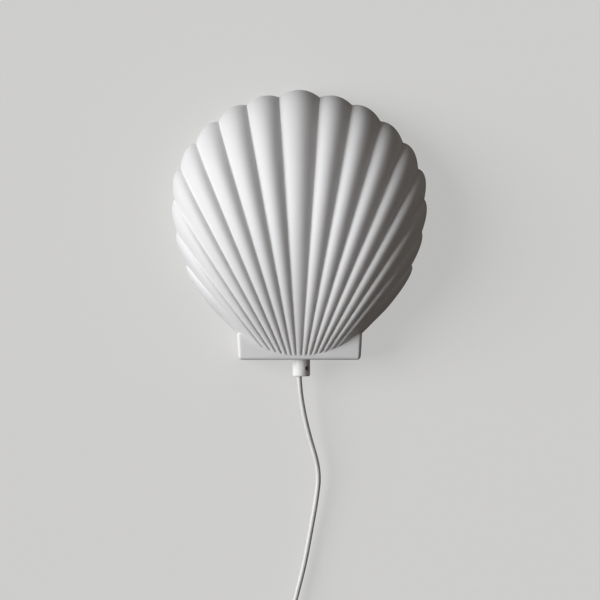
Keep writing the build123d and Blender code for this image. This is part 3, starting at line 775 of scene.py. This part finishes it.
# ---- Cord grip --------------------------------------------------------------------
@dataclass
class CordGrip:
    """The white grip under the block and its slotted clamp screw, in millimetres."""

    axis: tuple[float, float] = (1.8, -22.0)
    radius: float = 8.6
    top: float = -229.3
    bottom: float = -246.0
    edge: float = 1.5
    edge_steps: int = 7
    top_edge: float = 0.4
    bore: float = 2.8
    socket: float = 5.05
    screw_z: float = -238.1
    screw_way: Point = (0.7193, -0.6947, 0.0)
    screw_radius: float = 1.95
    screw_hole: float = 2.95
    screw_depth: float = 2.6
    screw_edge: float = 0.25
    drill_overrun: float = 3.0
    slot_width: float = 0.7
    slot_depth: float = 1.6
    slot_turn: float = 0.5
    corners: int = 72
    rod_corners: int = 40
    smooth_angle: float = 40.0

    def along_screw(self, reach: float) -> Matrix:
        """Find a place on the screw's axis.

        Args:
            reach: its distance from the grip's axis.

        Returns:
            The place, turned so that its own upright axis is the screw's axis.
        """
        place = Vector((*self.axis, self.screw_z)) * MM + Vector(self.screw_way) * reach * MM
        turn = Vector(self.screw_way).to_track_quat("Z", "Y").to_matrix().to_4x4()
        return Matrix.Translation(place) @ turn

    def rod(self, radius: float, start: float, end: float) -> bpy.types.Object:
        """Make a round rod along the screw's axis.

        Args:
            radius: its radius.
            start: where it starts, from the grip's axis.
            end: where it ends, from the grip's axis.

        Returns:
            The closed mesh.
        """
        deselect()
        bpy.ops.mesh.primitive_cylinder_add(
            vertices=self.rod_corners, radius=radius * MM, depth=(end - start) * MM,
        )
        piece = bpy.context.object
        piece.matrix_world = self.along_screw((start + end) / 2)
        return settle(piece, "rod")

    def body(self) -> bpy.types.Object:
        """Make the grip's body with its bore, its socket for the nipple and its screw hole.

        Returns:
            The closed mesh.
        """
        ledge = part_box("threaded_nipple")[0][2] / MM
        profile = [
            (self.socket, self.top),
            (self.radius - self.top_edge, self.top),
            (self.radius, self.top - self.top_edge),
        ]
        for turn in np.linspace(0, math.pi / 2, self.edge_steps):
            side = self.radius - self.edge + self.edge * math.cos(turn)
            profile.append((side, self.bottom + self.edge - self.edge * math.sin(turn)))
        profile += [(self.bore, self.bottom), (self.bore, ledge), (self.socket, ledge), profile[0]]
        centre = (self.axis[0] * MM, self.axis[1] * MM)
        piece = turned("clamp_grip", [(r * MM, z * MM) for r, z in profile], centre, self.corners)
        drill = self.rod(self.screw_hole, self.radius - self.screw_depth, self.radius + self.drill_overrun)
        combine(piece, drill, Combine.CUT)
        return piece

    def screw(self) -> bpy.types.Object:
        """Make the dark clamp screw with a slot across its outer end.

        Returns:
            The closed mesh.
        """
        low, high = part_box("grip_screw")
        spread = self.screw_radius * abs(self.screw_way[1])
        start = (low[0] / MM - self.axis[0] + spread) / self.screw_way[0]
        end = (high[0] / MM - self.axis[0] - spread) / self.screw_way[0]
        piece = self.rod(self.screw_radius, start, end)
        bevel = piece.modifiers.new("edge", "BEVEL")
        bevel.width = self.screw_edge * MM
        bevel.segments = 2
        apply_modifier(piece, bevel)
        deselect()
        bpy.ops.mesh.primitive_cube_add(size=1)
        cutter = bpy.context.object
        size = Matrix.Diagonal((self.slot_width * MM, 3 * self.screw_radius * MM, self.slot_depth * MM, 1.0))
        cutter.matrix_world = self.along_screw(end) @ Matrix.Rotation(self.slot_turn, 4, "Z") @ size
        combine(piece, settle(cutter, "slot"), Combine.CUT)
        return settle(piece, "clamp_screw")

    def build(self) -> bpy.types.Object:
        """Build the grip and its screw.

        Returns:
            The grip's body.
        """
        body, screw = self.body(), self.screw()
        rows = (
            (body, "cord_grip", GRIP_PLASTIC, "grip_plastic"),
            (screw, "grip_screw", DARK_SCREW, "screw_dark"),
        )
        for piece, node, finish, slot in rows:
            dress(piece, finish, self.smooth_angle)
            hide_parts(node)
            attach(piece, "light")
        return body


# ---- Bulb ---------------------------------------------------------------------------
@dataclass
class CandleBulb:
    """The opal bulb with its threaded metal cap, in millimetres."""

    axis: tuple[float, float] = (1.8, -22.0)
    foot: float = -160.0
    outline: tuple[tuple[float, float], ...] = (
        (9.4, 0), (12.6, 6), (15.6, 13), (17.2, 20), (17.5, 26), (16.9, 34),
        (15.2, 43), (12.6, 52), (9.4, 60), (5.6, 66.5), (2.6, 68.7), (0.0, 69.1),
    )
    steps: int = 5
    tip_drop: float = 0.4
    least_radius: float = 0.02
    corners: int = 72
    cap_low: float = -184.5
    cap_high: float = -166.5
    cap_radius: float = 6.55
    thread_depth: float = 0.33
    thread_pitch: float = 2.82
    thread_end: float = 1.2
    cap_rows: int = 61
    cap_corners: int = 56
    smooth_angle: float = 50.0

    def eased(self) -> list[tuple[float, float]]:
        """Draw smooth curves between the outline's points.

        Returns:
            (radius, height) pairs above the foot.
        """
        points = np.array(self.outline)
        before, after = 2 * points[0] - points[1], points[-1] * (-1, 1) + (0, -self.tip_drop)
        padded = np.vstack([before, points, after])
        result = []
        for a, b, c, d in zip(padded, padded[1:], padded[2:], padded[3:]):
            square, cube = 2 * a - 5 * b + 4 * c - d, 3 * b - a - 3 * c + d
            for t in np.arange(self.steps) / self.steps:
                result.append(0.5 * (2 * b + (c - a) * t + square * t**2 + cube * t**3))
        return [(max(r, self.least_radius), h) for r, h in result] + [(0.0, self.outline[-1][1])]

    def cap(self, centre: tuple[float, float]) -> bpy.types.Object:
        """Make the cap, with a thread that winds once round in each pitch.

        Args:
            centre: x and y of the bulb's axis, in metres.

        Returns:
            The closed mesh.
        """
        heights = np.linspace(self.cap_low, self.cap_high, self.cap_rows)
        profile = [(self.cap_radius * MM, z * MM) for z in heights]
        piece = turned("bulb_thread_cap", profile, centre, self.cap_corners)
        for vertex in piece.data.vertices:
            x, y, z = vertex.co.x - centre[0], vertex.co.y - centre[1], vertex.co.z / MM
            near_end = min(z - self.cap_low, self.cap_high - z)
            share = min(1.0, near_end / self.thread_end)
            wave = math.cos(2 * math.pi * z / self.thread_pitch - math.atan2(y, x))
            grow = 1 + share * self.thread_depth * wave / self.cap_radius
            vertex.co.x, vertex.co.y = centre[0] + x * grow, centre[1] + y * grow
        return piece

    def build(self) -> bpy.types.Object:
        """Build the globe and the cap.

        Returns:
            The opal globe.
        """
        centre = (self.axis[0] * MM, self.axis[1] * MM)
        profile = [(r * MM, (self.foot + h) * MM) for r, h in self.eased()]
        globe = turned("opal_globe", profile, centre, self.corners)
        rows = (
            (globe, "bulb_globe", OPAL_GLASS, "bulb_glass"),
            (self.cap(centre), "bulb_cap", NICKEL, "bulb_nickel"),
        )
        for piece, node, finish, slot in rows:
            dress(piece, finish, self.smooth_angle)
            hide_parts(node)
            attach(piece, "bulb")
        return globe


# ---- Plug ---------------------------------------------------------------------------
@dataclass
class FlatPlug:
    """The flat plug's body with its tapered, ribbed strain relief, in millimetres."""

    axis: tuple[float, float] = (102.4, -8.5)
    relief_top: float = -577.0
    relief_ribs: int = 8
    rib_pitch: float = 3.3
    neck: float = 3.0
    rib_height: float = 0.75
    rib_edges: tuple[float, float, float] = (0.5, 1.9, 2.4)
    taper: float = 0.24
    roundness: float = 2.0
    sections: tuple[tuple[float, float, float, float], ...] = (
        (6.4, 5.7, -604.2, 2.2),
        (9.6, 6.2, -607.0, 2.6),
        (12.3, 6.5, -611.0, 3.2),
        (14.8, 6.7, -617.0, 3.8),
        (16.6, 6.8, -623.0, 4.4),
        (17.4, 6.8, -628.0, 5.0),
        (17.5, 6.8, -630.4, 5.0),
        (17.2, 6.5, -631.5, 5.0),
        (16.5, 5.9, -632.0, 5.0),
    )
    corners: int = 64
    smooth_angle: float = 35.0

    def build(self) -> bpy.types.Object:
        """Build the plug's body.

        Returns:
            The finished piece.
        """
        rings = []
        for rib in range(self.relief_ribs):
            z, low = self.relief_top - rib * self.rib_pitch, self.neck + rib * self.taper
            radii = (low, low + self.rib_height, low + self.rib_height, low + self.taper)
            for radius, below in zip(radii, (0.0, *self.rib_edges)):
                rings.append((radius, radius, z - below, self.roundness))
        piece = lofted("plug_shell", [*rings, *self.sections], self.axis, self.corners)
        dress(piece, PLUG_PLASTIC, self.smooth_angle)
        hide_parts("plug_body")
        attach(piece, "light")
        return piece


# ---- The cord -------------------------------------------------------------------
@dataclass
class MainsCord:
    """The round cord from the grip through switch and coil to the plug, in millimetres."""

    diameter: float = 5.0
    coil_middle: float = 26.8
    coil_pitch: float = 6.4
    coil_lift: float = 6.2
    coil_layers: int = 4
    coil_turns: int = 2
    coil_z: float = -616.0
    coil_back_y: float = -4.0
    coil_left_x: float = -10.0
    coil_exit_rise: float = 22.0
    points_a_half_turn: int = 8
    length: float = 2.085
    hanging: tuple[Point, ...] = (
        (-0.36, -19.9, -235.4),
        (-0.5, -19.8, -252.0),
        (3.2, -17.5, -279.0),
        (9.2, -14.5, -305.0),
        (20.0, -11.5, -341.0),
        (16.6, -9.5, -370.0),
        (11.0, -7.8, -401.0),
        (5.0, -6.8, -434.0),
        (-3.9, -7.4, -468.0),
        (-9.0, -10.0, -487.0),
        (-9.0, -10.0, -500.0),
        (-9.0, -10.0, -558.0),
        (-9.0, -10.0, -572.0),
        (-10.0, -4.0, -597.0),
        (-10.0, -4.0, -611.0),
    )
    plug_end: tuple[Point, ...] = (
        (56.4, -20.5, -572.47),
        (69.87, -16.5, -559.0),
        (88.93, -12.0, -559.0),
        (102.4, -8.5, -572.47),
        (102.4, -8.5, -592.0),
    )

    def coil_points(self) -> list[Point]:
        """Place the coil's control points: layers that spiral in and out by turns.

        Returns:
            Points in order along the cord.
        """
        outer = self.coil_middle + self.coil_pitch * self.coil_turns / 2
        middle_x = self.coil_left_x + outer
        side, radius, y = -1, outer, self.coil_back_y
        stations = [(side, radius, y)]
        for layer in range(self.coil_layers):
            change = -self.coil_pitch / 2 if layer % 2 == 0 else self.coil_pitch / 2
            for _ in range(2 * self.coil_turns):
                side, radius = -side, radius + change
                stations.append((side, radius, y))
            if layer < self.coil_layers - 1:
                side, y = -side, y - self.coil_lift
                stations.append((side, radius, y))
        points = []
        step = math.pi / self.points_a_half_turn
        for (side, r0, y0), (_, r1, y1) in zip(stations, stations[1:]):
            centre = middle_x + side * (r0 - r1) / 2
            reach = (r0 + r1) / 2 / math.cos(step / 2)
            for j in range(self.points_a_half_turn):
                turn = (j + 0.5) * step
                share = turn / math.pi
                x = centre + side * reach * math.cos(turn)
                z = self.coil_z + side * reach * math.sin(turn)
                points.append((x, y0 + (y1 - y0) * share, z))
        side, radius, y = stations[-1]
        points.append((middle_x + side * radius, y, self.coil_z + self.diameter))
        points.append((middle_x + side * radius, y, self.coil_z + self.coil_exit_rise))
        return points

    def build(self) -> bpy.types.Object:
        """Returns:
            The cord's curve object.
        """
        points = [*self.hanging, *self.coil_points(), *self.plug_end]
        curve = bpy.data.curves.new("mains_cord", "CURVE")
        curve.dimensions = "3D"
        spline = curve.splines.new("NURBS")
        spline.points.add(len(points) - 1)
        for control, (x, y, z) in zip(spline.points, points):
            control.co = (x * MM, y * MM, z * MM, 1.0)
        spline.order_u = 3
        spline.use_endpoint_u = True
        spline.resolution_u = 6
        curve.bevel_depth = self.diameter / 2 * MM
        curve.bevel_resolution = 5
        curve.use_fill_caps = True
        cord = bpy.data.objects.new("mains_cord", curve)
        bpy.context.scene.collection.objects.link(cord)
        curve.materials.append(CORD_SHEATH.material())
        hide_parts("cord_lead", "cord_link", "cord_coil", "cord_tail")
        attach(cord, "light")
        log.info("built %s", cord.name)
        return cord


# ---- Stage, light and camera ------------------------------------------------------
@dataclass(frozen=True)
class Lamp:
    """A far, broad lamp: the way its light travels, how wide it looks in degrees, and its light."""

    name: str
    direction: Point
    softness: float
    strength: float
    colour: Colour

    def add(self) -> None:
        """Add the lamp to the scene."""
        light = bpy.data.lights.new(self.name, "SUN")
        light.angle = math.radians(self.softness)
        light.energy = self.strength
        light.color = self.colour
        lamp = bpy.data.objects.new(self.name, light)
        lamp.rotation_mode = "QUATERNION"
        lamp.rotation_quaternion = Vector(self.direction).to_track_quat("-Z", "Y")
        bpy.context.scene.collection.objects.link(lamp)


@dataclass
class Studio:
    """A pale wall and floor, a broad lamp from the left, a weak fill and a lamp behind, in metres."""

    wall_colour: Colour = (0.8, 0.79, 0.77)
    bounce_colour: Colour = (0.14, 0.12, 0.105)
    glow_colour: Colour = (0.68, 0.68, 0.675)
    glow_share: float = 0.7
    backdrop_roughness: float = 0.9
    backdrop_specular: float = 0.1
    stage_width: float = 5.0
    wall_middle_z: float = 0.6
    wall_gap: float = 0.0006
    floor_z: float = -0.78
    floor_middle_y: float = -1.9
    floor_depth: float = 4.0
    camera_place: Point = (0.0005, -1.5, -0.171)
    lens: float = 90.0
    lamps: tuple[Lamp, ...] = (
        Lamp("key_left", (0.85, 0.51, -0.11), 42.0, 3.25, (0.985, 0.99, 1.0)),
        Lamp("fill_right", (-0.75, 0.6, -0.2), 60.0, 0.13, (1.0, 0.95, 0.9)),
        Lamp("from_behind", (0.3, -0.9, -0.3), 40.0, 1.3, (1.0, 1.0, 1.0)),
    )
    ambient: Colour = (0.034, 0.029, 0.025)
    surround: Colour = (0.62, 0.61, 0.6)

    def backdrop_material(self) -> bpy.types.Material:
        """Make a pale matt paint that the camera sees and that lets light through from behind.

        Returns:
            The backdrop's material.
        """
        material = bpy.data.materials.new("pale_backdrop")
        material.use_nodes = True
        nodes, links = material.node_tree.nodes, material.node_tree.links
        shader, output = nodes["Principled BSDF"], nodes["Material Output"]
        shader.inputs["Roughness"].default_value = self.backdrop_roughness
        shader.inputs["Specular IOR Level"].default_value = self.backdrop_specular
        path = nodes.new("ShaderNodeLightPath")
        tone = nodes.new("ShaderNodeMix")
        tone.data_type = "RGBA"
        tone.inputs["A"].default_value = (*self.bounce_colour, 1.0)
        tone.inputs["B"].default_value = (*self.wall_colour, 1.0)
        links.new(path.outputs["Is Camera Ray"], tone.inputs["Factor"])
        links.new(tone.outputs["Result"], shader.inputs["Base Color"])
        side = nodes.new("ShaderNodeNewGeometry")
        either = nodes.new("ShaderNodeMath")
        either.operation = "MAXIMUM"
        links.new(side.outputs["Backfacing"], either.inputs[0])
        links.new(path.outputs["Is Shadow Ray"], either.inputs[1])
        clear = nodes.new("ShaderNodeBsdfTransparent")
        pale = nodes.new("ShaderNodeEmission")
        pale.inputs["Color"].default_value = (*self.glow_colour, 1.0)
        share = nodes.new("ShaderNodeMath")
        share.operation = "MULTIPLY"
        share.inputs[1].default_value = self.glow_share
        links.new(path.outputs["Is Camera Ray"], share.inputs[0])
        paint_mix = nodes.new("ShaderNodeMixShader")
        links.new(share.outputs[0], paint_mix.inputs["Fac"])
        links.new(shader.outputs["BSDF"], paint_mix.inputs[1])
        links.new(pale.outputs["Emission"], paint_mix.inputs[2])
        mix = nodes.new("ShaderNodeMixShader")
        links.new(either.outputs[0], mix.inputs["Fac"])
        links.new(paint_mix.outputs["Shader"], mix.inputs[1])
        links.new(clear.outputs["BSDF"], mix.inputs[2])
        links.new(mix.outputs["Shader"], output.inputs["Surface"])
        return material

    def add_backdrops(self) -> None:
        """Add the wall behind the light and the floor below it."""
        material = self.backdrop_material()
        deselect()
        bpy.ops.mesh.primitive_plane_add(
            size=1, location=(0, self.wall_gap, self.wall_middle_z), rotation=(math.pi / 2, 0, 0),
        )
        wall = bpy.context.object
        wall.scale = (self.stage_width, 2 * (self.wall_middle_z - self.floor_z), 1)
        deselect()
        bpy.ops.mesh.primitive_plane_add(size=1, location=(0, self.floor_middle_y, self.floor_z))
        floor = bpy.context.object
        floor.scale = (self.stage_width, self.floor_depth, 1)
        for stage, name in ((wall, "wall"), (floor, "floor")):
            settle(stage, name)
            stage.data.materials.append(material)

    def add_world(self) -> None:
        """Light everything evenly and a little, and show a pale surround."""
        world = bpy.data.worlds.new("studio_world")
        bpy.context.scene.world = world
        world.use_nodes = True
        nodes, links = world.node_tree.nodes, world.node_tree.links
        background = nodes["Background"]
        path = nodes.new("ShaderNodeLightPath")
        tone = nodes.new("ShaderNodeMix")
        tone.data_type = "RGBA"
        tone.inputs["A"].default_value = (*self.ambient, 1.0)
        tone.inputs["B"].default_value = (*self.surround, 1.0)
        seen = nodes.new("ShaderNodeMath")
        seen.operation = "MAXIMUM"
        links.new(path.outputs["Is Camera Ray"], seen.inputs[0])
        links.new(path.outputs["Is Glossy Ray"], seen.inputs[1])
        links.new(seen.outputs[0], tone.inputs["Factor"])
        links.new(tone.outputs["Result"], background.inputs["Color"])

    def add_camera(self) -> None:
        """Set the camera level, square to the wall, as the photograph was taken."""
        data = bpy.data.cameras.new("camera")
        data.lens = self.lens
        data.sensor_width = 36.0
        camera = bpy.data.objects.new("camera", data)
        camera.location = self.camera_place
        camera.rotation_euler = (math.pi / 2, 0, 0)
        bpy.context.scene.collection.objects.link(camera)
        bpy.context.scene.camera = camera

    def build(self) -> None:
        """Set up backdrops, lamps, world and camera."""
        self.add_backdrops()
        for lamp in self.lamps:
            lamp.add()
        self.add_world()
        self.add_camera()
        bpy.context.scene.view_settings.view_transform = "Standard"
        log.info("studio ready")


def dress_nodes() -> None:
    """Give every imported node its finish."""
    for finish, nodes in FINISHED_NODES.items():
        for node in nodes:
            paint(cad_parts[node], finish)


def main() -> None:
    """Build the studio and every piece."""
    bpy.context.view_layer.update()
    dress_nodes()
    Studio().build()
    for part in (ShellShade(), CordGrip(), CandleBulb(), FlatPlug(), MainsCord()):
        part.build()


if __name__ == "__main__":
    main()
